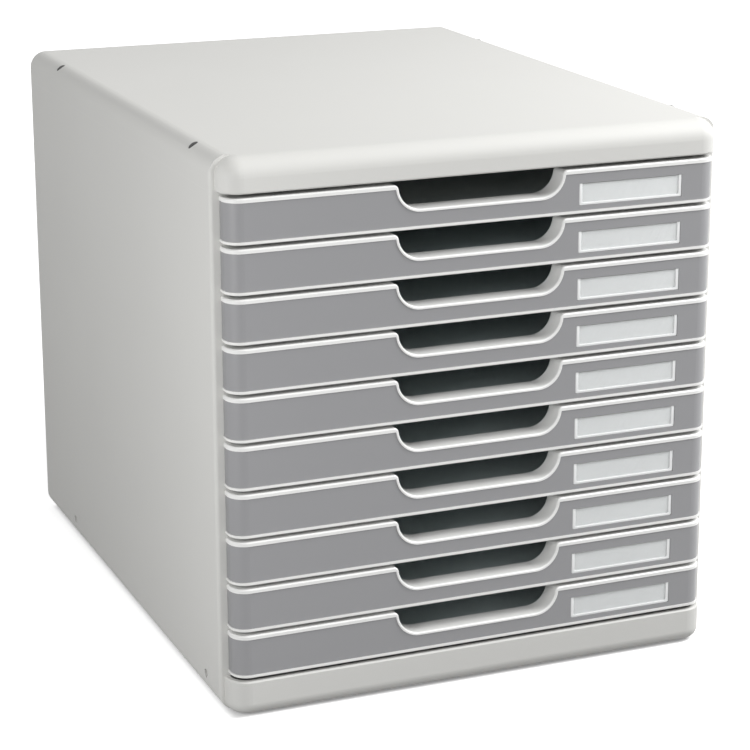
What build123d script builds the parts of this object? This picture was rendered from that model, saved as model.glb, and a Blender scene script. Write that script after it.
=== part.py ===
from build123d import *
import os

# Desktop drawer box with ten shallow moulded drawers, in millimetres.
# The origin is on the surface it stands on, under the middle of the box.
# The drawer fronts face -Y and +Z is up.

os.makedirs("parts", exist_ok=True)

# Casing
casing_width = 280.0
casing_depth = 356.0
plinth_height = 19.2
visor_height = 17.8
wall = 2.4
nose_wall = 3.0
shoulder_radius = 9.5
visor_edge_radius = 10.0
plinth_edge_radius = 6.5
seam_edge_chamfer = 0.8
cap_corner_radius = 11.0
cap_end_step = 2.8
side_edge_radius = 2.0
back_edge_chamfer = 1.6
side_return_width = 9.4
tongue_step = 6.0
tongue_tip_margin = 3.8
base_rib_height = 5.6
base_rib_thickness = 1.8
base_rib_pitch = 82.0

# Drawers
drawer_count = 10
drawer_pitch = 25.2
front_gap = 2.0
front_depth = 12.0
front_corner_radius = 9.0
drawer_end_step = 4.7
front_wall = 2.8
tray_wall = 1.8
tray_height = 20.5
floor_lift = 1.2
tray_corner_radius = 4.0
flange_thickness = 1.8
drawer_travel = 240.0
catch_length = 8.0
catch_ramp = 5.0

# Finger scoop in the top edge of each drawer front
scoop_width = 91.0
scoop_depth = 13.0
scoop_radius = 12.2
scoop_top_radius = 2.6
lip_width = 1.4
lip_edge_chamfer = 0.6
bottom_edge_chamfer = 0.4

# Coloured fascia and label of each drawer front
fascia_thickness = 0.8
fascia_sink = 0.4
top_lip = 2.2
bottom_lip = 1.6
label_height = 11.7
label_end_margin = 20.9
label_scoop_margin = 7.85
label_bottom_margin = 4.1
window_thickness = 0.6
card_thickness = 0.3
card_rim = 0.5

# Runners inside the side panels
runner_thickness = 2.0
keeper_thickness = 1.6
runner_overlap = 4.2
keeper_overlap = 3.0

# Clearances
closing_gap = 0.3
running_gap = 0.3
side_gap = 0.6
insert_gap = 0.1
stop_gap = 0.2
back_clearance = 7.0

# Screws, upright in the top moulding and lying in the base
top_screw_side_inset = 4.6
top_screw_front_inset = 50.0
top_screw_back_inset = 55.6
base_screw_front_inset = 34.5
base_screw_back_inset = 68.0
base_screw_height = 12.5
screw_head_diameter = 4.2
screw_head_height = 1.4
screw_shank_diameter = 2.0
screw_access_diameter = 4.8
screw_hole_play = 0.1
screw_seat_wall = 1.8
screw_boss_width = 7.0
screw_grip = 4.0
drive_slot_width = 0.6
drive_slot_depth = 0.6

# Feet
foot_diameter = 16.0
foot_thickness = 2.0
foot_proud = 1.0
foot_side_inset = 22.0
foot_end_inset = 26.0
foot_edge_chamfer = 0.4

# Heights and planes of the casing
side_x = casing_width / 2
front_y = -casing_depth / 2
back_y = casing_depth / 2
body_front = front_y + front_depth + closing_gap
drawers_height = drawer_count * drawer_pitch + front_gap
base_z = foot_proud
seam_low = base_z + plinth_height
seam_high = seam_low + drawers_height
casing_top = seam_high + visor_height

# Lines of the side panels, from the outside inwards
cap_half = side_x - cap_end_step
inner_x = side_x - wall
tongue_x = inner_x - tongue_step
opening_x = side_x - side_return_width
return_back = body_front + wall
panel_front = back_y - wall
rear_rib_front = panel_front - wall
rail_length = rear_rib_front - return_back
top_screw_x = side_x - top_screw_side_inset
top_screw_rows = (front_y + top_screw_front_inset, back_y - top_screw_back_inset)
base_screw_rows = (front_y + base_screw_front_inset, back_y - base_screw_back_inset)
screw_hole_radius = (screw_shank_diameter + screw_hole_play) / 2

# Lines of a drawer, whose front stands with its underside on z = 0
front_half = side_x - drawer_end_step
front_height = drawer_pitch - front_gap
front_back = front_y + front_depth
flange_x = opening_x - side_gap
runner_x = flange_x - runner_overlap
keeper_x = flange_x - keeper_overlap
tray_half = runner_x - side_gap
tray_back = panel_front - back_clearance
flange_bottom = tray_height - flange_thickness
runner_bottom = flange_bottom - running_gap - runner_thickness
keeper_bottom = tray_height + running_gap
catch_x = (flange_x + inner_x) / 2
catch_front = return_back + stop_gap + drawer_travel
fascia_seat = fascia_sink + fascia_thickness
fascia_top = front_height - top_lip
label_right = front_half - label_end_margin
label_left = scoop_width / 2 + lip_width + label_scoop_margin
label_width = label_right - label_left
label_x = (label_left + label_right) / 2
label_z = label_bottom_margin + label_height / 2


def drawer_level(number):
    """Height of the underside of a drawer's front; drawer 1 is the top one."""
    return seam_low + front_gap + (drawer_count - number) * drawer_pitch


def lying_bosses():
    """Square bosses for the base's screws, from the side walls to the tongues."""
    with BuildPart() as bosses:
        for side in (-1, 1):
            with BuildSketch(Plane.YZ.offset(side * side_x)):
                with Locations(*[(row, base_screw_height) for row in base_screw_rows]):
                    Rectangle(screw_boss_width, screw_boss_width)
            extrude(amount=-side * (side_x - tongue_x))
    return bosses.part


def upright_bosses():
    """Square bosses for the top's screws, between the side walls and the tongues."""
    boss_reach = side_x - tongue_x - closing_gap
    with BuildPart() as bosses:
        with BuildSketch():
            for side in (-1, 1):
                with Locations(*[(side * (side_x - boss_reach / 2), row) for row in top_screw_rows]):
                    Rectangle(boss_reach, screw_boss_width)
        extrude(amount=visor_height)
    return bosses.part


def cap_hollow(cap_height, edge_radius, bosses):
    """Space inside an end moulding, less the bosses that take its screws."""
    with BuildPart() as hollow:
        with BuildSketch(Plane.XY.offset(nose_wall)) as nose:
            with Locations((0, return_back)):
                Rectangle(
                    2 * (cap_half - nose_wall),
                    return_back - front_y - nose_wall,
                    align=(Align.CENTER, Align.MAX),
                )
            fillet(nose.vertices().group_by(Axis.Y)[0], radius=cap_corner_radius - nose_wall)
        extrude(amount=cap_height)
        rim = hollow.edges().group_by(Axis.Z)[0].sort_by(Axis.Y)[:-1]
        chamfer(rim, length=edge_radius - nose_wall)
        with BuildSketch(Plane.XZ.offset(-panel_front)) as body:
            with Locations((0, wall)):
                Rectangle(2 * inner_x, cap_height, align=(Align.CENTER, Align.MIN))
            fillet(body.vertices().group_by(Axis.Y)[0], radius=shoulder_radius - wall)
        extrude(amount=panel_front - return_back)
        add(bosses, mode=Mode.SUBTRACT)
    return hollow.part


def cap_nose(cap_height, edge_radius):
    """Front of an end moulding, which stands in line with the drawer fronts."""
    with BuildPart() as nose:
        with BuildSketch() as plan:
            with Locations((0, body_front)):
                Rectangle(2 * cap_half, body_front - front_y, align=(Align.CENTER, Align.MAX))
            fillet(plan.vertices().group_by(Axis.Y)[0], radius=cap_corner_radius)
        extrude(amount=cap_height)
        fillet(nose.edges().group_by(Axis.Z)[0].sort_by(Axis.Y)[:-1], radius=edge_radius)
        chamfer(nose.edges().group_by(Axis.Z)[-1].sort_by(Axis.Y)[:-1], length=seam_edge_chamfer)
    return nose.part


def cap_moulding(cap_height, edge_radius, bosses, bore_planes, bore_depth):
    """End moulding of the casing, a shallow tray that stands on z = 0 and opens upwards."""
    nose_radius = min(edge_radius, cap_corner_radius - seam_edge_chamfer)
    nose = cap_nose(cap_height, nose_radius)
    hollow = cap_hollow(cap_height, nose_radius, bosses)
    with BuildPart() as cap:
        with BuildSketch(Plane.XZ.offset(-back_y)) as face:
            Rectangle(casing_width, cap_height, align=(Align.CENTER, Align.MIN))
            fillet(face.vertices().group_by(Axis.Y)[0], radius=shoulder_radius)
        extrude(amount=back_y - body_front)
        back_rim = cap.faces().sort_by(Axis.Y)[-1].edges().sort_by(Axis.Z)[:-1]
        chamfer(back_rim, length=back_edge_chamfer)
        with BuildSketch() as plan:
            with Locations((0, body_front)):
                Rectangle(casing_width, casing_depth, align=(Align.CENTER, Align.MIN))
            fillet(plan.vertices().group_by(Axis.Y)[0], radius=side_edge_radius)
        extrude(amount=cap_height, mode=Mode.INTERSECT)
        add(nose)
        add(hollow, mode=Mode.SUBTRACT)
        with Locations(*bore_planes):
            CounterBoreHole(
                radius=screw_hole_radius,
                counter_bore_radius=screw_access_diameter / 2,
                counter_bore_depth=bore_depth - screw_seat_wall,
                depth=bore_depth,
            )
    return cap.part


def foot_discs(low, thickness):
    """Four round discs at the places of the feet."""
    with BuildPart() as discs:
        with BuildSketch(Plane.XY.offset(low)):
            with GridLocations(
                casing_width - 2 * foot_side_inset, casing_depth - 2 * foot_end_inset, 2, 2
            ):
                Circle(foot_diameter / 2)
        extrude(amount=thickness)
    return discs.part


def corner_screws(head_planes):
    """Small slotted screws, each driven along the z axis of the plane on its head."""
    with BuildPart() as screws:
        for head_top in head_planes:
            with BuildSketch(head_top):
                Circle(screw_head_diameter / 2)
            extrude(amount=screw_head_height)
            with BuildSketch(head_top):
                Circle(screw_shank_diameter / 2)
            extrude(amount=screw_head_height + screw_seat_wall + screw_grip)
            with BuildSketch(head_top):
                Rectangle(screw_head_diameter, drive_slot_width)
            extrude(amount=drive_slot_depth, mode=Mode.SUBTRACT)
    return screws.part


def front_outline(inset):
    """Plan of a drawer front with its round corners, inset at the front and the ends."""
    with BuildSketch() as outline:
        with Locations((0, front_back)):
            Rectangle(
                2 * (front_half - inset),
                front_depth - inset,
                align=(Align.CENTER, Align.MAX),
            )
        fillet(outline.vertices().group_by(Axis.Y)[0], radius=front_corner_radius - inset)
    return outline.sketch


def front_band(outer_inset, inner_inset, low, high, lip_grow):
    """Upright band that follows the drawer front round its corners, less the scoop and its lip."""
    outer = front_outline(outer_inset)
    inner = front_outline(inner_inset)
    lip = scoop_trough(lip_grow)
    with BuildPart() as band:
        with BuildSketch(Plane.XY.offset(low)):
            add(outer)
            add(inner, mode=Mode.SUBTRACT)
        extrude(amount=high - low)
        add(lip, mode=Mode.SUBTRACT)
    return band.part


def scoop_trough(grow):
    """Solid that fills the finger scoop, larger by grow; it runs right through the front."""
    with BuildPart() as trough:
        with BuildSketch(Plane.XZ.offset(-front_back - lip_width)) as profile:
            with Locations((0, front_height + front_gap)):
                Rectangle(
                    scoop_width + 2 * grow,
                    scoop_depth + front_gap + grow,
                    align=(Align.CENTER, Align.MAX),
                )
            fillet(profile.vertices().group_by(Axis.Y)[0], radius=scoop_radius + grow)
        extrude(amount=front_depth + 2 * lip_width)
    return trough.part


def label_plate(margin, near, far):
    """Plate at the label's place, from near to far behind the front plane."""
    with BuildPart() as plate:
        with BuildSketch(Plane.XZ.offset(-front_y - far)):
            with Locations((label_x, label_z)):
                Rectangle(label_width - 2 * margin, label_height - 2 * margin)
        extrude(amount=far - near)
    return plate.part


# Base moulding, with stiffening ribs and the seats of the feet
base_bores = [
    Plane((side * side_x, row, base_screw_height), z_dir=(side, 0, 0))
    for side in (-1, 1)
    for row in base_screw_rows
]
base_bosses = lying_bosses()
base_form = cap_moulding(
    plinth_height, plinth_edge_radius, base_bosses, base_bores, side_x - tongue_x
)
foot_seats = foot_discs(base_z, foot_thickness - foot_proud)
with BuildPart() as base_panel:
    with Locations((0, 0, base_z)):
        add(base_form)
    with BuildSketch(Plane.XY.offset(base_z + wall / 2)):
        with Locations(*[(0, step * base_rib_pitch) for step in (-1, 0, 1)]):
            Rectangle(2 * (tongue_x - wall - closing_gap), base_rib_thickness)
    extrude(amount=wall / 2 + base_rib_height)
    add(foot_seats, mode=Mode.SUBTRACT)

# Top moulding with its rounded visor, the same form turned over
top_bores = [
    Plane((side * top_screw_x, row, 0), z_dir=(0, 0, -1))
    for side in (-1, 1)
    for row in top_screw_rows
]
top_bosses = upright_bosses()
top_form = cap_moulding(
    visor_height, visor_edge_radius, top_bosses, top_bores, visor_height
)
with BuildPart() as top_panel:
    mirror(top_form, about=Plane.XY.offset(casing_top / 2))

# Rubber feet, sunk in the base
foot_form = foot_discs(0, foot_thickness)
with BuildPart() as feet:
    add(foot_form)
    chamfer(feet.edges().group_by(Axis.Z)[0], length=foot_edge_chamfer)

# Left side panel: skin, front return, rear rib, shelves with tongues, and the drawer runners
with BuildPart() as left_side:
    with BuildSketch(Plane.XY.offset(seam_low)) as plan:
        with Locations((-side_x, body_front)):
            Rectangle(wall, back_y - body_front, align=(Align.MIN, Align.MIN))
            Rectangle(side_return_width, wall, align=(Align.MIN, Align.MIN))
        with Locations((-side_x, rear_rib_front)):
            Rectangle(side_return_width, wall, align=(Align.MIN, Align.MIN))
        front_corner = plan.vertices().sort_by_distance((-side_x, body_front))[0]
        fillet(front_corner, radius=side_edge_radius)
        back_corner = plan.vertices().sort_by_distance((-side_x, back_y))[0]
        chamfer(back_corner, length=back_edge_chamfer)
    extrude(amount=drawers_height)
    for shelf_z, tip_z in (
        (seam_low, base_z + tongue_tip_margin),
        (seam_high - wall, casing_top - tongue_tip_margin),
    ):
        with BuildSketch(Plane.XY.offset(shelf_z)):
            with Locations((-inner_x, return_back)):
                Rectangle(tongue_step + wall, rail_length, align=(Align.MIN, Align.MIN))
        extrude(amount=wall)
        with BuildSketch(Plane.XY.offset(shelf_z)):
            with Locations((-tongue_x, return_back)):
                Rectangle(wall, rail_length, align=(Align.MIN, Align.MIN))
        extrude(amount=tip_z - shelf_z)
    for number in range(1, drawer_count + 1):
        for rail_bottom, rail_thickness, rail_x in (
            (runner_bottom, runner_thickness, runner_x),
            (keeper_bottom, keeper_thickness, keeper_x),
        ):
            with BuildSketch(Plane.XY.offset(drawer_level(number) + rail_bottom)):
                with Locations((-inner_x, return_back)):
                    Rectangle(inner_x - rail_x, rail_length, align=(Align.MIN, Align.MIN))
            extrude(amount=rail_thickness)
    for row in base_screw_rows:
        with Locations(Plane((-tongue_x, row, base_z + base_screw_height), z_dir=(-1, 0, 0))):
            Hole(radius=screw_hole_radius, depth=wall)
    for row in top_screw_rows:
        with Locations((-top_screw_x, row, seam_high)):
            Hole(radius=screw_hole_radius, depth=screw_grip + wall)

# Right side panel
with BuildPart() as right_side:
    mirror(left_side.part, about=Plane.YZ)

# Back panel, between the side panels and the two end mouldings
with BuildPart() as back_panel:
    with BuildSketch(Plane.XY.offset(seam_low)):
        with Locations((0, panel_front)):
            Rectangle(2 * inner_x, wall, align=(Align.CENTER, Align.MIN))
    extrude(amount=drawers_height)

# Screws at the corners
head_rise = screw_seat_wall + screw_head_height
top_heads = [
    Plane((side * top_screw_x, row, seam_high + head_rise), z_dir=(0, 0, -1))
    for side in (-1, 1)
    for row in top_screw_rows
]
top_screw_form = corner_screws(top_heads)
with BuildPart() as top_screws:
    add(top_screw_form)
base_heads = [
    Plane((side * (tongue_x + head_rise), row, base_z + base_screw_height), z_dir=(-side, 0, 0))
    for side in (-1, 1)
    for row in base_screw_rows
]
base_screw_form = corner_screws(base_heads)
with BuildPart() as base_screws:
    add(base_screw_form)

# Space inside a drawer front, open below and clear of the scoop
scoop_shell = scoop_trough(tray_wall)
with BuildPart() as front_hollow:
    with BuildSketch() as plan:
        with Locations((0, front_back - tray_wall)):
            Rectangle(
                2 * (front_half - front_wall),
                front_depth - front_wall - tray_wall,
                align=(Align.CENTER, Align.MAX),
            )
        fillet(plan.vertices().group_by(Axis.Y)[0], radius=front_corner_radius - front_wall)
    extrude(amount=front_height - tray_wall)
    add(scoop_shell, mode=Mode.SUBTRACT)

# Drawer tray, one moulding with its scooped front, runner flanges and stop catches
scoop = scoop_trough(0)
block_plan = front_outline(0)
fascia_recess = front_band(-lip_width, fascia_seat, bottom_lip, fascia_top, lip_width)
card_pocket = label_plate(card_rim, fascia_seat, fascia_seat + card_thickness)
with BuildPart() as tray:
    with BuildSketch():
        add(block_plan)
    extrude(amount=front_height)
    add(scoop, mode=Mode.SUBTRACT)
    scoop_corners = tray.edges().filter_by(Axis.Y).group_by(Axis.Z)[-1].sort_by(Axis.X)[1:-1]
    fillet(scoop_corners, radius=scoop_top_radius)
    front_rim = tray.faces().sort_by(Axis.Y)[0].edges().filter_by(Axis.Z, reverse=True)
    chamfer(front_rim.sort_by(Axis.Z)[-1], length=lip_edge_chamfer)
    bottom_rim = tray.faces().sort_by(Axis.Y)[0].edges().sort_by(Axis.Z)[0]
    chamfer(bottom_rim, length=bottom_edge_chamfer)
    add(front_hollow.part, mode=Mode.SUBTRACT)
    add(fascia_recess, mode=Mode.SUBTRACT)
    add(card_pocket, mode=Mode.SUBTRACT)
    with BuildSketch(Plane.XY.offset(floor_lift)) as box_plan:
        with Locations((0, front_back)):
            Rectangle(2 * tray_half, tray_back - front_back, align=(Align.CENTER, Align.MIN))
        fillet(box_plan.vertices().group_by(Axis.Y)[-1], radius=tray_corner_radius)
    extrude(amount=tray_height - floor_lift)
    with BuildSketch(Plane.XY.offset(floor_lift + tray_wall)) as room_plan:
        with Locations((0, front_back)):
            Rectangle(
                2 * (tray_half - tray_wall),
                tray_back - tray_wall - front_back,
                align=(Align.CENTER, Align.MIN),
            )
        fillet(room_plan.vertices().group_by(Axis.Y)[-1], radius=tray_corner_radius - tray_wall)
    extrude(amount=tray_height, mode=Mode.SUBTRACT)
    for side in (-1, 1):
        with BuildSketch(Plane.XY.offset(flange_bottom)):
            with BuildLine():
                Polyline(
                    (side * tray_half, front_back),
                    (side * flange_x, front_back),
                    (side * flange_x, catch_front),
                    (side * catch_x, catch_front),
                    (side * catch_x, catch_front + catch_length - catch_ramp),
                    (side * flange_x, catch_front + catch_length),
                    (side * flange_x, tray_back - tray_corner_radius),
                    (side * tray_half, tray_back - tray_corner_radius),
                    close=True,
                )
            make_face()
        extrude(amount=flange_thickness)

# Fascia, a coloured skin let into the drawer front
fascia_form = front_band(
    fascia_sink,
    fascia_seat,
    bottom_lip + insert_gap,
    fascia_top - insert_gap,
    lip_width + insert_gap,
)
label_opening = label_plate(0, 0, front_wall)
with BuildPart() as fascia:
    add(fascia_form)
    add(label_opening, mode=Mode.SUBTRACT)

# Clear window in the fascia, and the card behind it
window_form = label_plate(insert_gap, fascia_seat - window_thickness, fascia_seat)
with BuildPart() as label_window:
    add(window_form)
card_form = label_plate(card_rim + insert_gap, fascia_seat, fascia_seat + card_thickness)
with BuildPart() as label_card:
    add(card_form)

# Write the casing
for name, piece in (
    ("base_panel", base_panel),
    ("top_panel", top_panel),
    ("left_side", left_side),
    ("right_side", right_side),
    ("back_panel", back_panel),
    ("top_screws", top_screws),
    ("base_screws", base_screws),
    ("feet", feet),
):
    piece.part.label = name
    export_step(piece.part, f"parts/{name}.step")

# Write the drawers, numbered from the top
for number in range(1, drawer_count + 1):
    for form_name, form in (
        ("tray", tray),
        ("fascia", fascia),
        ("label_window", label_window),
        ("label_card", label_card),
    ):
        with BuildPart() as placed:
            with Locations((0, 0, drawer_level(number))):
                add(form.part)
        name = f"drawer_{number:02d}_{form_name}"
        placed.part.label = name
        export_step(placed.part, f"parts/{name}.step")
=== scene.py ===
"""Looks of the desktop drawer box: finishes, label holders, screws, feet, light and camera.

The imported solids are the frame. They keep their shapes and get moulded finishes, and small
pieces that show from close by are built again with finer forms. All lengths are in metres.
"""
import logging
import math
from dataclasses import dataclass
from enum import Enum

import bmesh
import bpy
from mathutils import Matrix, Vector


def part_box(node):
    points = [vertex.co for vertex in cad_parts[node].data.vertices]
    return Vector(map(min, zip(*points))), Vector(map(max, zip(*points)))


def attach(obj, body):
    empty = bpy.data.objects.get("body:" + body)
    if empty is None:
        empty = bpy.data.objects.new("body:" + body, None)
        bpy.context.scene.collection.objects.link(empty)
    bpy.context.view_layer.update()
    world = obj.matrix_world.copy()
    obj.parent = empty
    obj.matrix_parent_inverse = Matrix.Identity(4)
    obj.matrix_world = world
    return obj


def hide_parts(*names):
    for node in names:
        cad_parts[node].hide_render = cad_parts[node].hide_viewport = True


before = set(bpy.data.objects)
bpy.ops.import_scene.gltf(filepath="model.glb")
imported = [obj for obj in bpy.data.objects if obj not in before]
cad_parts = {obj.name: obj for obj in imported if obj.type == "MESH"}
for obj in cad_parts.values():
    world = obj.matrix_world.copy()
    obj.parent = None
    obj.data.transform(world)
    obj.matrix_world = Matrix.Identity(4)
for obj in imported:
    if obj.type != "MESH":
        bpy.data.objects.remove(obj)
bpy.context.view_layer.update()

MM = 0.001
DRAWER_COUNT = 10
CASING_BODY = "casing"
SCREW_HEAD_RADIUS = 2.1 * MM
WELD_DISTANCE = 1e-7

Color = tuple[float, float, float]
Place = tuple[float, float, float]
Point = tuple[float, float]
Span = tuple[float, float]

log = logging.getLogger("drawer_box")


class Slot(Enum):
    """Names of material slots of the record; the new pieces below take their finishes directly."""

    WINDOW = "clear_plastic"
    SCREW = "screw_steel"
    FOOT = "foot_rubber"


class Side(Enum):
    """Sides of the casing, as signs along X."""

    LEFT = -1
    RIGHT = 1


class Stance(Enum):
    """How a moulding's screws are driven."""

    UPRIGHT = "down through the top"
    LYING = "in from the sides"


def socket(node: bpy.types.Node, name: str) -> bpy.types.NodeSocket:
    """Input socket of a node by its name."""
    return node.inputs[name]


class NodeSheet:
    """Small helper that adds and joins shader nodes in one tree."""

    def __init__(self, tree: bpy.types.NodeTree) -> None:
        """Start on an empty tree.

        Args:
            tree: node tree of a material, world or group.
        """
        self.tree = tree
        self.tree.nodes.clear()

    def add(self, kind: str, label: str = "", **settings: object) -> bpy.types.Node:
        """Add one node.

        Args:
            kind: identifier of the node's type.
            label: plain words shown on the node.
            settings: properties to set on the node.

        Returns:
            The new node.
        """
        node = self.tree.nodes.new(kind)
        node.label = label
        for name, value in settings.items():
            setattr(node, name, value)
        return node

    def join(self, source: bpy.types.NodeSocket, target: bpy.types.NodeSocket) -> None:
        """Link an output socket to an input socket."""
        self.tree.links.new(source, target)

    def mix(
        self, mask: bpy.types.NodeSocket, first: Color | bpy.types.NodeSocket, second: Color
    ) -> bpy.types.NodeSocket:
        """Mix two colours by a mask.

        Args:
            mask: factor, 0 for the first colour.
            first: a colour or the output socket of one.
            second: the other colour.

        Returns:
            The mixed colour's socket.
        """
        blend = self.add("ShaderNodeMix", data_type="RGBA")
        self.join(mask, blend.inputs[0])
        if isinstance(first, tuple):
            blend.inputs[6].default_value = (*first, 1.0)
        else:
            self.join(first, blend.inputs[6])
        blend.inputs[7].default_value = (*second, 1.0)
        return blend.outputs[2]


def new_material(name: str) -> tuple[bpy.types.Material, NodeSheet, bpy.types.Node]:
    """Make a material with one Principled surface.

    Args:
        name: name of the material.

    Returns:
        The material, its sheet and its surface node.
    """
    material = bpy.data.materials.new(name)
    material.use_nodes = True
    sheet = NodeSheet(material.node_tree)
    surface = sheet.add("ShaderNodeBsdfPrincipled")
    output = sheet.add("ShaderNodeOutputMaterial")
    sheet.join(surface.outputs["BSDF"], socket(output, "Surface"))
    return material, sheet, surface


def add_relief(
    sheet: NodeSheet,
    surface: bpy.types.Node,
    height: bpy.types.NodeSocket,
    label: str,
    distance: float,
    strength: float = 1.0,
) -> None:
    """Let a height turn the normals of a surface slightly.

    Args:
        sheet: sheet of the material.
        surface: its surface node.
        height: socket of the height.
        label: plain words for the node.
        distance: depth of the relief.
        strength: share of the relief that shows.
    """
    bump = sheet.add("ShaderNodeBump", label)
    socket(bump, "Strength").default_value = strength
    socket(bump, "Distance").default_value = distance
    sheet.join(height, socket(bump, "Height"))
    sheet.join(bump.outputs["Normal"], socket(surface, "Normal"))


def new_group(
    name: str, inputs: dict[str, float], outputs: dict[str, str]
) -> tuple[NodeSheet, bpy.types.Node, bpy.types.Node]:
    """Make an empty shader node group with named sockets.

    Args:
        name: name of the group.
        inputs: float inputs with their default values.
        outputs: outputs with their socket types.

    Returns:
        The group's sheet, its input node and its output node.
    """
    tree = bpy.data.node_groups.new(name, "ShaderNodeTree")
    for label, value in inputs.items():
        made = tree.interface.new_socket(name=label, in_out="INPUT", socket_type="NodeSocketFloat")
        made.default_value = value
    for label, kind in outputs.items():
        tree.interface.new_socket(name=label, in_out="OUTPUT", socket_type=kind)
    sheet = NodeSheet(tree)
    return sheet, sheet.add("NodeGroupInput"), sheet.add("NodeGroupOutput")


def make_grain_group() -> bpy.types.NodeTree:
    """Fine moulded grain: a height for bump and a mask that varies roughness.

    Returns:
        The group, with inputs Scale and Unevenness and outputs Height and Mask.
    """
    sheet, given, result = new_group(
        "moulded_grain",
        {"Scale": 1800.0, "Unevenness": 0.35},
        {"Height": "NodeSocketFloat", "Mask": "NodeSocketFloat"},
    )
    place = sheet.add("ShaderNodeTexCoord")
    grain = sheet.add("ShaderNodeTexNoise", "spark grain")
    socket(grain, "Detail").default_value = 2.0
    socket(grain, "Roughness").default_value = 0.6
    sheet.join(place.outputs["Object"], socket(grain, "Vector"))
    sheet.join(given.outputs["Scale"], socket(grain, "Scale"))
    flow = sheet.add("ShaderNodeTexNoise", "flow of the melt")
    socket(flow, "Scale").default_value = 14.0
    socket(flow, "Detail").default_value = 3.0
    sheet.join(place.outputs["Object"], socket(flow, "Vector"))
    centred = sheet.add("ShaderNodeMath", "centred flow", operation="SUBTRACT")
    centred.inputs[1].default_value = 0.5
    sheet.join(flow.outputs["Fac"], centred.inputs[0])
    weighed = sheet.add("ShaderNodeMath", "flow by unevenness", operation="MULTIPLY")
    sheet.join(centred.outputs[0], weighed.inputs[0])
    sheet.join(given.outputs["Unevenness"], weighed.inputs[1])
    mask = sheet.add("ShaderNodeMath", "mask", operation="ADD", use_clamp=True)
    mask.inputs[1].default_value = 0.5
    sheet.join(weighed.outputs[0], mask.inputs[0])
    sheet.join(grain.outputs["Fac"], result.inputs["Height"])
    sheet.join(mask.outputs[0], result.inputs["Mask"])
    return sheet.tree


def make_edge_highlight_group() -> bpy.types.NodeTree:
    """Painted edge highlight: a mask that is 1 on a sharp edge and 0 on a flat, for a lighter
    colour that stands in for light caught on the edges.

    Returns:
        The group, with inputs Width and Strength and output Mask.
    """
    sheet, given, result = new_group(
        "painted_edge_highlight", {"Width": 0.0008, "Strength": 1.0}, {"Mask": "NodeSocketFloat"}
    )
    rounded = sheet.add("ShaderNodeBevel", "edge within reach")
    rounded.samples = 6
    sheet.join(given.outputs["Width"], socket(rounded, "Radius"))
    flat = sheet.add("ShaderNodeNewGeometry")
    likeness = sheet.add("ShaderNodeVectorMath", "likeness", operation="DOT_PRODUCT")
    sheet.join(rounded.outputs["Normal"], likeness.inputs[0])
    sheet.join(flat.outputs["Normal"], likeness.inputs[1])
    bend = sheet.add("ShaderNodeMapRange", "bend to mask")
    socket(bend, "From Min").default_value = 0.995
    socket(bend, "From Max").default_value = 0.8
    sheet.join(likeness.outputs["Value"], socket(bend, "Value"))
    strong = sheet.add("ShaderNodeMath", "by strength", operation="MULTIPLY", use_clamp=True)
    sheet.join(bend.outputs["Result"], strong.inputs[0])
    sheet.join(given.outputs["Strength"], strong.inputs[1])
    sheet.join(strong.outputs[0], result.inputs["Mask"])
    return sheet.tree


def make_dust_group() -> bpy.types.NodeTree:
    """Light dust that lies on faces that look up, in soft patches.

    Returns:
        The group, with inputs Amount and Patch Scale and output Mask.
    """
    sheet, given, result = new_group(
        "resting_dust", {"Amount": 0.1, "Patch Scale": 30.0}, {"Mask": "NodeSocketFloat"}
    )
    surface = sheet.add("ShaderNodeNewGeometry")
    parts = sheet.add("ShaderNodeSeparateXYZ")
    sheet.join(surface.outputs["Normal"], parts.inputs[0])
    place = sheet.add("ShaderNodeTexCoord")
    patches = sheet.add("ShaderNodeTexNoise", "patches")
    socket(patches, "Detail").default_value = 4.0
    sheet.join(place.outputs["Object"], socket(patches, "Vector"))
    sheet.join(given.outputs["Patch Scale"], socket(patches, "Scale"))
    upward = sheet.add("ShaderNodeMath", "upward faces", operation="MULTIPLY", use_clamp=True)
    sheet.join(parts.outputs["Z"], upward.inputs[0])
    sheet.join(patches.outputs["Fac"], upward.inputs[1])
    mask = sheet.add("ShaderNodeMath", "by amount", operation="MULTIPLY", use_clamp=True)
    sheet.join(upward.outputs[0], mask.inputs[0])
    sheet.join(given.outputs["Amount"], mask.inputs[1])
    sheet.join(mask.outputs[0], result.inputs["Mask"])
    return sheet.tree


@dataclass(frozen=True)
class EffectGroups:
    """Node groups that several materials share."""

    grain: bpy.types.NodeTree
    # group of the painted edge highlight
    edges: bpy.types.NodeTree
    dust: bpy.types.NodeTree

    @classmethod
    def build(cls) -> "EffectGroups":
        """Make each group once."""
        return cls(make_grain_group(), make_edge_highlight_group(), make_dust_group())


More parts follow.
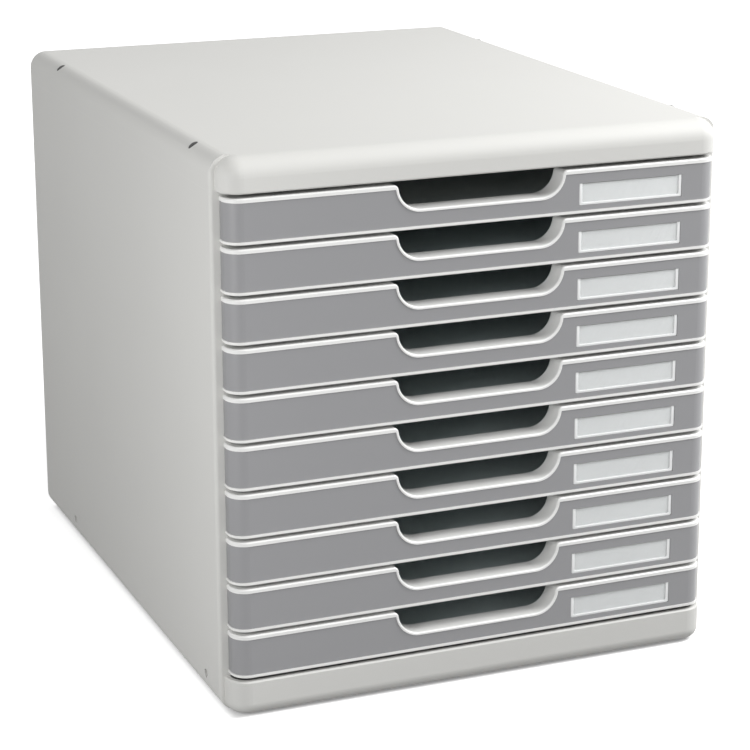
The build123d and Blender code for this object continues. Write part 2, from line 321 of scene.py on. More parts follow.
@dataclass(frozen=True)
class MouldedFinish:
    """Injection-moulded plastic with a fine grain, a painted highlight on its edges, a trace of
    dust and, where given, painted shade deeper inside.
    """

    name: str
    color: Color
    # lighter colour painted on the edges as a highlight
    edge_highlight_color: Color
    flow_color: Color
    roughness: float = 0.42
    roughness_spread: float = 0.08
    sheen_level: float = 0.5
    grain_scale: float = 1800.0
    grain_depth: float = 0.02 * MM
    grain_strength: float = 0.6
    edge_width: float = 0.7 * MM
    edge_strength: float = 0.6
    dust_amount: float = 0.06
    dust_color: Color = (0.62, 0.60, 0.56)
    # darker teal colour painted as shade inside, from a given depth along Y
    inner_shade_color: Color | None = None
    inner_shade_start: float = 0.0

    def build(self, groups: EffectGroups) -> bpy.types.Material:
        """Make the material.

        Args:
            groups: shared effect groups.

        Returns:
            The finished material.
        """
        material, sheet, surface = new_material(self.name)

        grain = sheet.add("ShaderNodeGroup", "grain", node_tree=groups.grain)
        socket(grain, "Scale").default_value = self.grain_scale
        # mask of the painted edge highlight
        edges = sheet.add("ShaderNodeGroup", "edges", node_tree=groups.edges)
        socket(edges, "Width").default_value = self.edge_width
        socket(edges, "Strength").default_value = self.edge_strength
        dust = sheet.add("ShaderNodeGroup", "dust", node_tree=groups.dust)
        socket(dust, "Amount").default_value = self.dust_amount

        body = sheet.mix(grain.outputs["Mask"], self.color, self.flow_color)
        # painted shade: parts deeper inside take the darker inner colour
        if self.inner_shade_color is not None:
            body = sheet.mix(self.inner_shade_mask(sheet), body, self.inner_shade_color)
        # painted highlight: the edges take a lighter colour
        highlighted = sheet.mix(edges.outputs["Mask"], body, self.edge_highlight_color)
        dusty = sheet.mix(dust.outputs["Mask"], highlighted, self.dust_color)
        sheet.join(dusty, socket(surface, "Base Color"))

        spread = sheet.add("ShaderNodeMapRange", "roughness of the grain")
        socket(spread, "To Min").default_value = self.roughness - self.roughness_spread
        socket(spread, "To Max").default_value = self.roughness + self.roughness_spread
        sheet.join(grain.outputs["Mask"], socket(spread, "Value"))
        sheet.join(spread.outputs["Result"], socket(surface, "Roughness"))
        socket(surface, "Specular IOR Level").default_value = self.sheen_level

        height = grain.outputs["Height"]
        add_relief(
            sheet, surface, height, "grain relief", self.grain_depth, self.grain_strength
        )
        return material

    def inner_shade_mask(self, sheet: NodeSheet) -> bpy.types.NodeSocket:
        """Mask of the parts that lie deeper in the box than the given start, which take the
        painted shade.

        Args:
            sheet: sheet of the material.

        Returns:
            The mask's socket.
        """
        place = sheet.add("ShaderNodeTexCoord")
        parts = sheet.add("ShaderNodeSeparateXYZ")
        sheet.join(place.outputs["Object"], parts.inputs[0])
        deep = sheet.add("ShaderNodeMath", "behind the front", operation="GREATER_THAN")
        deep.inputs[1].default_value = self.inner_shade_start
        sheet.join(parts.outputs["Y"], deep.inputs[0])
        return deep.outputs[0]


@dataclass(frozen=True)
class WindowFinish:
    """Clear plastic of the label windows, thin enough to let the light through straight."""

    name: str = "label_window_clear"
    color: Color = (0.90, 0.93, 0.93)
    cover: float = 0.22
    roughness: float = 0.12
    bending: float = 1.49
    wave_scale: float = 40.0
    wave_depth: float = 0.05 * MM
    wave_strength: float = 0.2

    def build(self) -> bpy.types.Material:
        """Make the material with a faint moulded waviness.

        Returns:
            The finished material.
        """
        material, sheet, surface = new_material(self.name)
        socket(surface, "Base Color").default_value = (*self.color, 1.0)
        socket(surface, "Roughness").default_value = self.roughness
        socket(surface, "IOR").default_value = self.bending
        socket(surface, "Alpha").default_value = self.cover
        place = sheet.add("ShaderNodeTexCoord")
        wave = sheet.add("ShaderNodeTexNoise", "moulded waviness")
        socket(wave, "Scale").default_value = self.wave_scale
        sheet.join(place.outputs["Object"], socket(wave, "Vector"))
        height = wave.outputs["Fac"]
        add_relief(sheet, surface, height, "waviness", self.wave_depth, self.wave_strength)
        return material


@dataclass(frozen=True)
class CardFinish:
    """Matte white card with faint fibres."""

    name: str = "label_card_paper"
    color: Color = (0.95, 0.96, 0.96)
    fibre_color: Color = (0.90, 0.91, 0.91)
    roughness: float = 0.9
    fibre_scale: float = 900.0
    fibre_stretch: Place = (0.25, 1.0, 1.0)
    fibre_depth: float = 0.01 * MM

    def build(self) -> bpy.types.Material:
        """Make the material.

        Returns:
            The finished material.
        """
        material, sheet, surface = new_material(self.name)
        socket(surface, "Roughness").default_value = self.roughness
        place = sheet.add("ShaderNodeTexCoord")
        stretch = sheet.add("ShaderNodeMapping", "fibres along the card")
        socket(stretch, "Scale").default_value = self.fibre_stretch
        sheet.join(place.outputs["Object"], socket(stretch, "Vector"))
        fibres = sheet.add("ShaderNodeTexNoise", "fibres")
        socket(fibres, "Scale").default_value = self.fibre_scale
        socket(fibres, "Detail").default_value = 3.0
        sheet.join(stretch.outputs["Vector"], socket(fibres, "Vector"))
        color = sheet.mix(fibres.outputs["Fac"], self.color, self.fibre_color)
        sheet.join(color, socket(surface, "Base Color"))
        add_relief(sheet, surface, fibres.outputs["Fac"], "fibre relief", self.fibre_depth)
        return material


@dataclass(frozen=True)
class PlatedFinish:
    """Zinc-plated steel of the screws."""

    name: str = "screw_plated_steel"
    color: Color = (0.32, 0.32, 0.33)
    stain_color: Color = (0.42, 0.41, 0.38)
    roughness: float = 0.38
    grain_scale: float = 2600.0

    def build(self, groups: EffectGroups) -> bpy.types.Material:
        """Make the material.

        Args:
            groups: shared effect groups.

        Returns:
            The finished material.
        """
        material, sheet, surface = new_material(self.name)
        socket(surface, "Metallic").default_value = 1.0
        grain = sheet.add("ShaderNodeGroup", "plating", node_tree=groups.grain)
        socket(grain, "Scale").default_value = self.grain_scale
        color = sheet.mix(grain.outputs["Height"], self.color, self.stain_color)
        sheet.join(color, socket(surface, "Base Color"))
        socket(surface, "Roughness").default_value = self.roughness
        return material


@dataclass(frozen=True)
class RubberFinish:
    """Dark soft rubber of the feet."""

    name: str = "foot_soft_rubber"
    color: Color = (0.035, 0.035, 0.036)
    scuff_color: Color = (0.09, 0.088, 0.085)
    roughness: float = 0.75
    grain_scale: float = 1200.0
    unevenness: float = 1.2
    grain_depth: float = 0.03 * MM

    def build(self, groups: EffectGroups) -> bpy.types.Material:
        """Make the material.

        Args:
            groups: shared effect groups.

        Returns:
            The finished material.
        """
        material, sheet, surface = new_material(self.name)
        socket(surface, "Roughness").default_value = self.roughness
        grain = sheet.add("ShaderNodeGroup", "rubber skin", node_tree=groups.grain)
        socket(grain, "Scale").default_value = self.grain_scale
        socket(grain, "Unevenness").default_value = self.unevenness
        color = sheet.mix(grain.outputs["Mask"], self.color, self.scuff_color)
        sheet.join(color, socket(surface, "Base Color"))
        add_relief(sheet, surface, grain.outputs["Height"], "rubber relief", self.grain_depth)
        return material


# The lighter edge colours below are a painted highlight on the edges.
CASING_FINISH = MouldedFinish(
    name="casing_light_grey",
    color=(0.700, 0.698, 0.675),
    edge_highlight_color=(0.80, 0.80, 0.78),
    flow_color=(0.682, 0.680, 0.658),
    roughness=0.55,
    sheen_level=0.25,
    edge_strength=0.2,
)
DRAWER_FINISH = MouldedFinish(
    name="drawer_light_grey",
    color=(0.87, 0.87, 0.855),
    edge_highlight_color=(0.92, 0.92, 0.91),
    flow_color=(0.85, 0.85, 0.835),
    roughness=0.36,
    dust_amount=0.03,
    # painted shade: a darker teal inside the trays, behind their fronts
    inner_shade_color=(0.68, 0.75, 0.755),
    inner_shade_start=-0.1655,
)
FASCIA_FINISH = MouldedFinish(
    name="fascia_mid_grey",
    color=(0.308, 0.308, 0.317),
    edge_highlight_color=(0.40, 0.40, 0.41),
    flow_color=(0.295, 0.295, 0.304),
    roughness=0.46,
    dust_amount=0.02,
)
RIM_FINISH = MouldedFinish(
    name="label_rim_frosted",
    color=(0.90, 0.91, 0.91),
    edge_highlight_color=(0.96, 0.96, 0.96),
    flow_color=(0.88, 0.89, 0.89),
    roughness=0.5,
    dust_amount=0.0,
)


def dress_node(node: str, material: bpy.types.Material) -> None:
    """Give a carried-over CAD node its finish.

    Args:
        node: name of the CAD node.
        material: finish for every face of it.
    """
    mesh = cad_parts[node].data
    mesh.materials.clear()
    mesh.materials.append(material)


def link_piece(
    name: str,
    mesh: bpy.types.Mesh,
    material: bpy.types.Material,
    body: str,
    replaced: tuple[str, ...] = (),
) -> bpy.types.Object:
    """Put a new piece into the scene and tie it to its body.

    Args:
        name: name of the piece.
        mesh: its mesh, in the row frame.
        material: its finish.
        body: CAD body that it rides on.
        replaced: CAD nodes that it stands for.

    Returns:
        The new object.
    """
    mesh.materials.append(material)
    piece = bpy.data.objects.new(name, mesh)
    bpy.context.scene.collection.objects.link(piece)
    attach(piece, body)
    if replaced:
        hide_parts(*replaced)
    return piece


def finished_mesh(name: str, form: bmesh.types.BMesh, crease: float = 32.0) -> bpy.types.Mesh:
    """Turn a bmesh into a mesh with smooth rounds and crisp edges.

    Args:
        name: name of the mesh.
        form: bmesh to take over; it is freed.
        crease: angle in degrees above which an edge stays crisp.

    Returns:
        The new mesh.
    """
    bmesh.ops.recalc_face_normals(form, faces=form.faces[:])
    mesh = bpy.data.meshes.new(name)
    form.to_mesh(mesh)
    form.free()
    for polygon in mesh.polygons:
        polygon.use_smooth = True
    mesh.set_sharp_from_angle(angle=math.radians(crease))
    return mesh


def arc(centre: Point, radius: float, start: float, end: float, steps: int) -> list[Point]:
    """Points along a circular arc.

    Args:
        centre: centre of the arc.
        radius: radius of the arc.
        start: first angle in degrees.
        end: last angle in degrees.
        steps: number of stretches.

    Returns:
        The points, both ends included.
    """
    angles = [math.radians(start + (end - start) * step / steps) for step in range(steps + 1)]
    return [
        (centre[0] + radius * math.cos(turn), centre[1] + radius * math.sin(turn))
        for turn in angles
    ]


def plate_form(
    outline: list[Point], front: float, back: float, edge: float
) -> bmesh.types.BMesh:
    """Upright plate with a rounded front rim.

    Args:
        outline: its outline as points (x, z).
        front: y of its front face.
        back: y of its back face.
        edge: radius of the round along the front rim.

    Returns:
        The plate.
    """
    form = bmesh.new()
    face = form.faces.new([form.verts.new((x, back, z)) for x, z in outline])
    grown = bmesh.ops.extrude_face_region(form, geom=[face])
    moved = [item for item in grown["geom"] if isinstance(item, bmesh.types.BMVert)]
    bmesh.ops.translate(form, verts=moved, vec=(0.0, front - back, 0.0))
    rim = [
        item for item in form.edges
        if all(abs(corner.co.y - front) < WELD_DISTANCE for corner in item.verts)
    ]
    bmesh.ops.bevel(
        form, geom=rim, offset=edge, segments=3, profile=0.5, affect="EDGES", clamp_overlap=True
    )
    return form


def lathe_form(profile: list[Point], steps: int) -> bmesh.types.BMesh:
    """Round form about the Z axis.

    Args:
        profile: points (radius, z); the first and the last are on the axis.
        steps: number of stretches around.

    Returns:
        The closed form.
    """
    form = bmesh.new()
    corners = [form.verts.new((radius, 0.0, z)) for radius, z in profile]
    line = [form.edges.new(pair) for pair in zip(corners, corners[1:])]
    bmesh.ops.spin(
        form, geom=corners + line, cent=(0, 0, 0), axis=(0, 0, 1), angle=math.tau,
        steps=steps, use_merge=True,
    )
    bmesh.ops.remove_doubles(form, verts=form.verts[:], dist=WELD_DISTANCE)
    return form


def repeated_mesh(
    name: str, source: bpy.types.Mesh, places: list[Matrix], crease: float = 32.0
) -> bpy.types.Mesh:
    """Join copies of one mesh.

    Args:
        name: name of the joined mesh.
        source: mesh to repeat.
        places: transform of each copy.
        crease: angle in degrees above which an edge stays crisp.

    Returns:
        The joined mesh.
    """
    form = bmesh.new()
    for place in places:
        before = len(form.verts)
        form.from_mesh(source)
        form.verts.ensure_lookup_table()
        bmesh.ops.transform(form, matrix=place, verts=form.verts[before:])
    return finished_mesh(name, form, crease)


@dataclass(frozen=True)
class CornerScrews:
    """Cross-head screws of one end moulding, in the place of a CAD node."""

    node: str
    stance: Stance
    recess_reach: float = 0.64
    recess_width: float = 0.20
    recess_depth: float = 0.55
    recess_taper: float = 0.6
    recess_above: float = 0.5
    head_reach: float = 0.98
    head_round: float = 0.26
    head_round_drop: float = 0.02
    head_flat: float = 0.4
    head_dip: float = 0.01 * MM
    middle_dip: float = 0.007 * MM
    shank_share: float = 0.46
    head_radius: float = SCREW_HEAD_RADIUS
    head_height: float = 1.4 * MM
    grip_length: float = 5.6 * MM
    turn: float = math.radians(17.0)
    turn_change: float = 10.0
    round_steps: int = 5
    steps: int = 28

    def build(self, material: bpy.types.Material) -> None:
        """Build the four screws and put them in place of the CAD node.

        Args:
            material: finish of the screws.
        """
        low, high = (Vector(corner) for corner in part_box(self.node))
        single = self.single()
        radius = self.head_radius
        places = []
        for side in Side:
            for row in (low.y + radius, high.y - radius):
                turn = self.turn * (1 + self.turn_change * row) * side.value
                twist = Matrix.Rotation(turn, 4, "Z")
                if self.stance is Stance.UPRIGHT:
                    place = Matrix.Translation((side.value * (high.x - radius), row, high.z))
                else:
                    tip = Matrix.Rotation(math.radians(90.0 * side.value), 4, "Y")
                    middle = (side.value * high.x, row, (low.z + high.z) / 2)
                    place = Matrix.Translation(middle) @ tip
                places.append(place @ twist)
        mesh = repeated_mesh(self.node + "_detailed", single, places)
        bpy.data.meshes.remove(single)
        link_piece(self.node + "_detailed", mesh, material, CASING_BODY, (self.node,))
        log.info("screws: %s", self.node)

    def single(self) -> bpy.types.Mesh:
        """One screw, head up, with the middle of its head's top at the origin.

        Returns:
            The screw's mesh.
        """
        radius = self.head_radius
        shank = radius * self.shank_share
        length = self.head_height + self.grip_length
        middle = (
            radius * (self.head_reach - self.head_round),
            -radius * (self.head_round_drop + self.head_round),
        )
        profile = [(0.0, -self.middle_dip), (radius * self.head_flat, -self.head_dip)]
        profile += arc(middle, radius * self.head_round, 90.0, 0.0, self.round_steps)
        profile += [
            (radius * self.head_reach, -self.head_height), (shank, -self.head_height),
            (shank, -length + shank), (0.0, -length),
        ]
        head = finished_mesh("screw_head", lathe_form(profile, self.steps))
        return cut_mesh(head, self.recess_form(radius))

    def recess_form(self, radius: float) -> bpy.types.Mesh:
        """Cross that is cut into the head, narrower at its bottom.

        Args:
            radius: radius of the head.

        Returns:
            The cutting mesh.
        """
        reach = radius * self.recess_reach
        half = radius * self.recess_width / 2
        form = bmesh.new()
        for quarter in (0.0, 90.0):
            arm = bmesh.ops.create_cube(form, size=2.0)["verts"]
            for corner in arm:
                deep = corner.co.z < 0
                slim = self.recess_taper if deep else 1.0
                height = -self.recess_depth if deep else self.recess_above
                corner.co.x *= reach * slim
                corner.co.y *= half * slim
                corner.co.z = radius * height
            turned = Matrix.Rotation(math.radians(quarter), 3, "Z")
            bmesh.ops.rotate(form, verts=arm, cent=(0, 0, 0), matrix=turned)
        return finished_mesh("cross_recess", form)


def cut_mesh(body: bpy.types.Mesh, tool: bpy.types.Mesh) -> bpy.types.Mesh:
    """Cut one mesh out of another.

    Args:
        body: mesh that is cut; it is removed.
        tool: mesh that cuts; it is removed.

    Returns:
        The cut mesh.
    """
    scene = bpy.context.scene.collection
    holders = []
    for mesh in (body, tool):
        holder = bpy.data.objects.new(mesh.name, mesh)
        scene.objects.link(holder)
        holders.append(holder)
    cut = holders[0].modifiers.new("cut", "BOOLEAN")
    cut.operation = "DIFFERENCE"
    cut.solver = "EXACT"
    cut.use_self = True
    cut.object = holders[1]
    depsgraph = bpy.context.evaluated_depsgraph_get()
    result = bpy.data.meshes.new_from_object(holders[0].evaluated_get(depsgraph))
    for holder in holders:
        bpy.data.objects.remove(holder)
    for mesh in (body, tool):
        bpy.data.meshes.remove(mesh)
    return result


@dataclass(frozen=True)
class HolePlugs:
    """Dark domed plugs that close the screw holes in the top's rounded shoulders; their dark
    rubber is painted shade for the holes.
    """

    screw_node: str = "top_screws"
    moulding_node: str = "top_panel"
    radius: float = 2.3 * MM
    head_radius: float = SCREW_HEAD_RADIUS
    shoulder_radius: float = 9.5 * MM
    crown: float = 0.5 * MM
    sink: float = 0.05 * MM
    depth: float = 2.5 * MM
    steps: int = 32
    rings: int = 8
    crease: float = 50.0

    def build(self, material: bpy.types.Material) -> None:
        """Build the four plugs.

        Args:
            material: finish of the plugs.
        """
        screws_low, screws_high = (Vector(corner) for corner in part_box(self.screw_node))
        _, top_high = (Vector(corner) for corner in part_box(self.moulding_node))
        form = bmesh.new()
        for side in Side:
            middle_x = side.value * (screws_high.x - self.head_radius)
            for middle_y in (screws_low.y + self.head_radius, screws_high.y - self.head_radius):
                self.add_plug(form, middle_x, middle_y, top_high)
        mesh = finished_mesh("screw_hole_plugs", form, self.crease)
        link_piece("screw_hole_plugs", mesh, material, CASING_BODY)
        log.info("hole plugs built")

    def surface_height(self, x: float, corner: Vector) -> float:
        """Height of the top moulding's outer surface.

        Args:
            x: distance from the middle of the box, with its sign.
            corner: highest corner of the moulding's box.

        Returns:
            Height of the surface above the floor.
        """
        over = max(0.0, abs(x) - (corner.x - self.shoulder_radius))
        drop = self.shoulder_radius - math.sqrt(max(0.0, self.shoulder_radius ** 2 - over ** 2))
        return corner.z - drop

    def add_plug(
        self, form: bmesh.types.BMesh, middle_x: float, middle_y: float, corner: Vector
    ) -> None:
        """Add one plug that domes up from the shoulder.

        Args:
            form: bmesh to add to.
            middle_x: x of the plug's axis.
            middle_y: y of the plug's axis.
            corner: highest corner of the moulding's box.
        """
        loops = []
        for number in range(1, self.rings + 1):
            share = math.sin(math.pi / 2 * number / self.rings)
            lift = self.crown * (1 - share ** 2) - self.sink
            loops.append(self.ring(form, middle_x, middle_y, self.radius * share, corner, lift))
        loops.append(self.ring(form, middle_x, middle_y, self.radius, corner, -self.depth))
        for inner, outer in zip(loops, loops[1:]):
            for index in range(self.steps):
                after = (index + 1) % self.steps
                form.faces.new((inner[index], outer[index], outer[after], inner[after]))
        form.faces.new(loops[0])
        form.faces.new(list(reversed(loops[-1])))

    def ring(
        self,
        form: bmesh.types.BMesh,
        middle_x: float,
        middle_y: float,
        radius: float,
        corner: Vector,
        lift: float,
    ) -> list[bmesh.types.BMVert]:
        """Add one ring of corners of a plug.

        Args:
            form: bmesh to add to.
            middle_x: x of the plug's axis.
            middle_y: y of the plug's axis.
            radius: radius of the ring.
            corner: highest corner of the moulding's box.
            lift: how far the ring lies above the shoulder's surface.

        Returns:
            The ring's corners in order.
        """
        corners = []
        for index in range(self.steps):
            turn = math.tau * index / self.steps
            x = middle_x + radius * math.cos(turn)
            y = middle_y + radius * math.sin(turn)
            z = self.surface_height(x, corner) + lift
            corners.append(form.verts.new((x, y, z)))
        return corners


@dataclass(frozen=True)
class RubberFeet:
    """Four round pads with a soft edge and a shallow dish underneath."""

    node: str = "feet"
    radius: float = 8.0 * MM
    edge: float = 0.8 * MM
    dish_depth: float = 0.25 * MM
    dish_share: float = 0.7
    edge_steps: int = 5
    steps: int = 48

    def build(self, material: bpy.types.Material) -> None:
        """Build the feet and put them in place of the CAD node.

        Args:
            material: finish of the feet.
        """
        low, high = (Vector(corner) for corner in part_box(self.node))
        height = high.z - low.z
        dish = self.radius * self.dish_share
        profile = [(0.0, height), (self.radius, height)]
        middle = (self.radius - self.edge, self.edge)
        profile += arc(middle, self.edge, 0.0, -90.0, self.edge_steps)
        profile += [
            (dish + self.dish_depth, 0.0), (dish, self.dish_depth), (0.0, self.dish_depth),
        ]
        single = finished_mesh("foot", lathe_form(profile, self.steps))
        places = [
            Matrix.Translation((x, y, low.z))
            for x in (low.x + self.radius, high.x - self.radius)
            for y in (low.y + self.radius, high.y - self.radius)
        ]
        mesh = repeated_mesh("feet_detailed", single, places)
        bpy.data.meshes.remove(single)
        link_piece("feet_detailed", mesh, material, CASING_BODY, (self.node,))
        log.info("feet built")


@dataclass(frozen=True)
class LabelHolder:
    """Clear window of one drawer with its frosted rim along the ends and the bottom."""

    drawer: str
    rim_side: float = 1.7 * MM
    rim_bottom: float = 1.3 * MM
    corner: float = 0.9 * MM
    round_edge: float = 0.15 * MM
    window_sink: float = 0.12 * MM
    corner_steps: int = 5

    def build(self, window: bpy.types.Material, rim: bpy.types.Material) -> None:
        """Build the window and its rim in place of the CAD window.

        Args:
            window: finish of the clear part.
            rim: finish of the frosted rim.
        """
        node = f"{self.drawer}_label_window"
        low, high = (Vector(corner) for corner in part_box(node))
        frame_form = plate_form(self.rim_outline(low, high), low.y, high.y, self.round_edge)
        frame_mesh = finished_mesh(f"{self.drawer}_label_rim", frame_form)
        link_piece(
            f"{self.drawer}_label_rim", frame_mesh, rim, self.drawer, (node,)
        )
        pane_form = plate_form(
            self.pane_outline(low, high), low.y + self.window_sink, high.y, self.round_edge
        )
        pane_mesh = finished_mesh(f"{self.drawer}_label_pane", pane_form)
        link_piece(
            f"{self.drawer}_label_pane", pane_mesh, window, self.drawer, (node,)
        )

    def rim_outline(self, low: Vector, high: Vector) -> list[Point]:
        """U-shaped outline of the rim.

        Args:
            low: lower corner of the window's box.
            high: upper corner of the window's box.

        Returns:
            Points (x, z) once around.
        """
        left, right, bottom, top = low.x, high.x, low.z, high.z
        inner_left, inner_right = left + self.rim_side, right - self.rim_side
        inner_bottom = bottom + self.rim_bottom
        bend, steps = self.corner, self.corner_steps
        points = [(left, top)]
        points += arc((left + bend, bottom + bend), bend, 180.0, 270.0, steps)
        points += arc((right - bend, bottom + bend), bend, 270.0, 360.0, steps)
        points += [(right, top), (inner_right, top)]
        points += arc((inner_right - bend, inner_bottom + bend), bend, 0.0, -90.0, steps)
        points += arc((inner_left + bend, inner_bottom + bend), bend, -90.0, -180.0, steps)
        points += [(inner_left, top)]
        return points

    def pane_outline(self, low: Vector, high: Vector) -> list[Point]:
        """Outline of the clear pane inside the rim.

        Args:
            low: lower corner of the window's box.
            high: upper corner of the window's box.

        Returns:
            Points (x, z) once around.
        """
        left, right = low.x + self.rim_side, high.x - self.rim_side
        bottom, top = low.z + self.rim_bottom, high.z
        bend, steps = self.corner, self.corner_steps
        points = [(left, top)]
        points += arc((left + bend, bottom + bend), bend, 180.0, 270.0, steps)
        points += arc((right - bend, bottom + bend), bend, 270.0, 360.0, steps)
        points += [(right, top)]
        return points


@dataclass(frozen=True)
class Casing:
    """The outer mouldings with their screws and feet."""

    nodes: tuple[str, ...] = (
        "base_panel", "top_panel", "left_side", "right_side", "back_panel",
    )
    screws: tuple[tuple[str, Stance], ...] = (
        ("top_screws", Stance.UPRIGHT),
        ("base_screws", Stance.LYING),
    )

    def dress(self, groups: EffectGroups) -> None:
        """Give the mouldings their finish and build their screws, plugs and feet.

        Args:
            groups: shared effect groups.
        """
        finish = CASING_FINISH.build(groups)
        for node in self.nodes:
            dress_node(node, finish)
            log.info("casing: %s dressed", node)
        plating = PlatedFinish().build(groups)
        for node, stance in self.screws:
            CornerScrews(node, stance).build(plating)
        rubber = RubberFinish().build(groups)
        # plugs closing the screw holes, dark as painted shade of the holes
        HolePlugs().build(rubber)
        RubberFeet().build(rubber)


@dataclass(frozen=True)
class DrawerStack:
    """Ten drawers with their fascias, windows and cards."""

    count: int = DRAWER_COUNT

    def names(self) -> list[str]:
        """Names of the drawers from the top."""
        return [f"drawer_{number:02d}" for number in range(1, self.count + 1)]

    def dress(self, groups: EffectGroups) -> None:
        """Give each piece of each drawer its finish.

        Args:
            groups: shared effect groups.
        """
        tray = DRAWER_FINISH.build(groups)
        fascia = FASCIA_FINISH.build(groups)
        window = WindowFinish().build()
        rim = RIM_FINISH.build(groups)
        card = CardFinish().build()
        for name in self.names():
            dress_node(f"{name}_tray", tray)
            dress_node(f"{name}_fascia", fascia)
            dress_node(f"{name}_label_card", card)
            LabelHolder(name).build(window, rim)
            log.info("%s dressed", name)


@dataclass(frozen=True)
class Lamp:
    """One soft square lamp that points at the box."""

    name: str
    watts: float
    size: float
    place: Place

    def hang(self, target: Vector) -> None:
        """Put the lamp into the scene.

        Args:
            target: point that it faces.
        """
        lamp = bpy.data.lights.new(self.name, "AREA")
        lamp.energy = self.watts
        lamp.size = self.size
        holder = bpy.data.objects.new(self.name, lamp)
        holder.location = self.place
        facing = (target - Vector(self.place)).to_track_quat("-Z", "Y")
        holder.rotation_euler = facing.to_euler()
        bpy.context.scene.collection.objects.link(holder)


@dataclass(frozen=True)
class Studio:
    """Floor, soft lamps and a white world."""

    floor_half: float = 3.0
    floor_color: Color = (0.93, 0.93, 0.93)
    footprint: Place = (0.133, 0.172, 0.0)
    # painted contact shade: less glow right at the box darkens a narrow band over the real shadow
    contact_shade_glow: Span = (0.2, 0.6)
    contact_shade_reach: Span = (0.0, 0.006)
    far_glow: Span = (0.0, 1.0)
    far_reach: Span = (0.2, 1.2)
    # floor colour to reflected light, darker near the box: painted shade on the box's lower parts
    shaded_bounce: Span = (0.28, 0.36)
    bounce_reach: Span = (0.0, 0.25)
    world_strength: float = 0.38
    lamp_target: Place = (0.0, 0.0, 0.15)
    lamps: tuple[Lamp, ...] = (
        Lamp("key_lamp", 16.2, 0.6, (0.84, -0.49, 0.95)),
        Lamp("side_lamp", 1.58, 0.3, (-0.55, -0.45, 0.28)),
        Lamp("rear_lamp", 0.16, 0.3, (-0.45, 0.2, 0.45)),
    )

    def build(self) -> None:
        """Set up the floor, the lamps and the world."""
        self.build_floor()
        self.build_world()
        for lamp in self.lamps:
            lamp.hang(Vector(self.lamp_target))

    def build_floor(self) -> None:
        """Lay the floor."""
        mesh = bpy.data.meshes.new("floor")
        half = self.floor_half
        corners = [(-half, -half, 0), (half, -half, 0), (half, half, 0), (-half, half, 0)]
        mesh.from_pydata(corners, [], [(0, 1, 2, 3)])
        floor = bpy.data.objects.new("floor", mesh)
        bpy.context.scene.collection.objects.link(floor)
        material = bpy.data.materials.new("floor_white")
        material.use_nodes = True
        sheet = NodeSheet(material.node_tree)
        output = sheet.add("ShaderNodeOutputMaterial")
        matte = sheet.add("ShaderNodeBsdfDiffuse", "floor that takes the shadow")
        glow = sheet.add("ShaderNodeEmission", "glow that keeps the open floor white")
        seen = self.seen_rays(sheet)
        distance = self.distance_to_box(sheet)
        # painted shade: the floor reflects less light near the box
        shaded_bounce = self.ramp(sheet, "bounce by distance", distance, self.bounce_reach, self.shaded_bounce)
        paint = sheet.mix(seen, shaded_bounce, self.floor_color)
        sheet.join(paint, socket(matte, "Color"))
        # painted contact shade: the glow is lower right at the box
        near = self.ramp(sheet, "glow past the contact", distance, self.contact_shade_reach, self.contact_shade_glow)
        far = self.ramp(sheet, "glow of the open floor", distance, self.far_reach, self.far_glow)
        rise = sheet.add("ShaderNodeMath", "glow by distance", operation="MAXIMUM")
        sheet.join(near, rise.inputs[0])
        sheet.join(far, rise.inputs[1])
        level = sheet.add("ShaderNodeMath", "glow as seen", operation="MULTIPLY")
        sheet.join(seen, level.inputs[0])
        sheet.join(rise.outputs[0], level.inputs[1])
        sheet.join(level.outputs[0], socket(glow, "Strength"))
        both = sheet.add("ShaderNodeAddShader")
        sheet.join(matte.outputs[0], both.inputs[0])
        sheet.join(glow.outputs[0], both.inputs[1])
        sheet.join(both.outputs[0], socket(output, "Surface"))
        mesh.materials.append(material)

    def distance_to_box(self, sheet: NodeSheet) -> bpy.types.NodeSocket:
        """Distance of a point on the floor from the box's footprint.

        Args:
            sheet: sheet to add the nodes to.

        Returns:
            The distance's socket.
        """
        place = sheet.add("ShaderNodeTexCoord")
        mirrored = sheet.add("ShaderNodeVectorMath", operation="ABSOLUTE")
        sheet.join(place.outputs["Object"], mirrored.inputs[0])
        past = sheet.add("ShaderNodeVectorMath", "past the footprint", operation="SUBTRACT")
        past.inputs[1].default_value = self.footprint
        sheet.join(mirrored.outputs[0], past.inputs[0])
        outside = sheet.add("ShaderNodeVectorMath", operation="MAXIMUM")
        sheet.join(past.outputs[0], outside.inputs[0])
        length = sheet.add("ShaderNodeVectorMath", "distance", operation="LENGTH")
        sheet.join(outside.outputs[0], length.inputs[0])
        return length.outputs["Value"]

    @staticmethod
    def ramp(
        sheet: NodeSheet,
        label: str,
        value: bpy.types.NodeSocket,
        reach: Span,
        levels: Span,
    ) -> bpy.types.NodeSocket:
        """Smooth change of a level with a distance.

        Args:
            sheet: sheet to add the node to.
            label: plain words for the node.
            value: the distance's socket.
            reach: distances where the change starts and ends.
            levels: levels at its start and its end.

        Returns:
            The level's socket.
        """
        change = sheet.add("ShaderNodeMapRange", label, interpolation_type="SMOOTHSTEP")
        socket(change, "From Min").default_value = reach[0]
        socket(change, "From Max").default_value = reach[1]
        socket(change, "To Min").default_value = levels[0]
        socket(change, "To Max").default_value = levels[1]
        sheet.join(value, socket(change, "Value"))
        return change.outputs["Result"]

    @staticmethod
    def seen_rays(sheet: NodeSheet) -> bpy.types.NodeSocket:
        """Mask that is 1 for camera, glossy and transmission rays.

        Args:
            sheet: sheet to add the nodes to.

        Returns:
            The mask's socket.
        """
        ray = sheet.add("ShaderNodeLightPath")
        first = sheet.add("ShaderNodeMath", operation="MAXIMUM")
        sheet.join(ray.outputs["Is Camera Ray"], first.inputs[0])
        sheet.join(ray.outputs["Is Glossy Ray"], first.inputs[1])
        second = sheet.add("ShaderNodeMath", operation="MAXIMUM")
        sheet.join(first.outputs[0], second.inputs[0])
        sheet.join(ray.outputs["Is Transmission Ray"], second.inputs[1])
        return second.outputs[0]

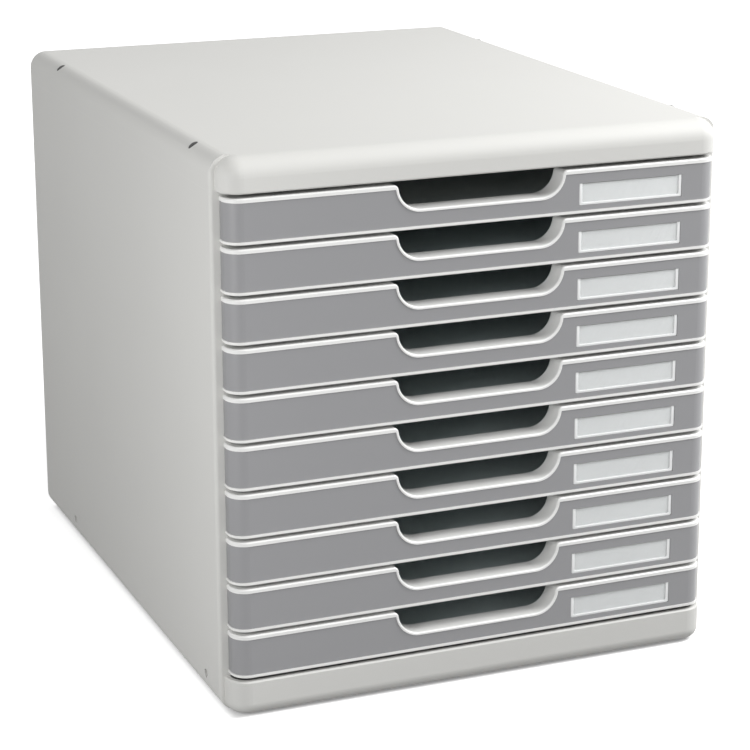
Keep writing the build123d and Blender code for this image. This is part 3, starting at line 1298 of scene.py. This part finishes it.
    def build_world(self) -> None:
        """White world to the camera, a plain soft light to everything else."""
        world = bpy.data.worlds.new("studio")
        bpy.context.scene.world = world
        world.use_nodes = True
        sheet = NodeSheet(world.node_tree)
        output = sheet.add("ShaderNodeOutputWorld")
        light = sheet.add("ShaderNodeBackground", "soft light")
        socket(light, "Strength").default_value = self.world_strength
        white = sheet.add("ShaderNodeBackground", "white to the camera")
        socket(light, "Color").default_value = (1.0, 1.0, 1.0, 1.0)
        socket(white, "Color").default_value = (1.0, 1.0, 1.0, 1.0)
        blend = sheet.add("ShaderNodeMixShader")
        sheet.join(self.seen_rays(sheet), blend.inputs[0])
        sheet.join(light.outputs[0], blend.inputs[1])
        sheet.join(white.outputs[0], blend.inputs[2])
        sheet.join(blend.outputs[0], socket(output, "Surface"))


@dataclass(frozen=True)
class Photographer:
    """Camera at the photograph's viewpoint."""

    azimuth: float = math.radians(23.01)
    elevation: float = math.radians(15.77)
    roll: float = math.radians(0.10)
    distance: float = 1.41251
    pan: float = -0.03455
    rise: float = 0.00368
    focal_pixels: float = 2433.9
    image_pixels: float = 750.0
    sensor_mm: float = 36.0
    shift_right: float = -0.05
    shift_up: float = -0.05
    middle: Place = (0.0, 0.0, 0.1465)

    def build(self) -> None:
        """Create the camera and make it the scene's."""
        camera = bpy.data.cameras.new("camera")
        camera.sensor_width = self.sensor_mm
        camera.lens = self.focal_pixels / self.image_pixels * self.sensor_mm
        camera.shift_x = self.shift_right
        camera.shift_y = self.shift_up
        holder = bpy.data.objects.new("camera", camera)
        backward = Vector((
            -math.sin(self.azimuth) * math.cos(self.elevation),
            -math.cos(self.azimuth) * math.cos(self.elevation),
            math.sin(self.elevation),
        ))
        right = Vector((0, 0, 1)).cross(backward).normalized()
        up = backward.cross(right)
        turned_right = right * math.cos(self.roll) + up * math.sin(self.roll)
        turned_up = up * math.cos(self.roll) - right * math.sin(self.roll)
        place = Vector(self.middle) + backward * self.distance
        place -= turned_right * self.pan + turned_up * self.rise
        axes = Matrix((turned_right, turned_up, backward)).transposed()
        holder.matrix_world = Matrix.Translation(place) @ axes.to_4x4()
        bpy.context.scene.collection.objects.link(holder)
        bpy.context.scene.camera = holder


def main() -> None:
    """Dress the frame, build the finer pieces, and set up the studio."""
    logging.basicConfig(level=logging.INFO, format="%(message)s")
    bpy.context.scene.view_settings.view_transform = "Standard"
    groups = EffectGroups.build()
    Casing().dress(groups)
    DrawerStack().dress(groups)
    Studio().build()
    Photographer().build()


if __name__ == "__main__":
    main()
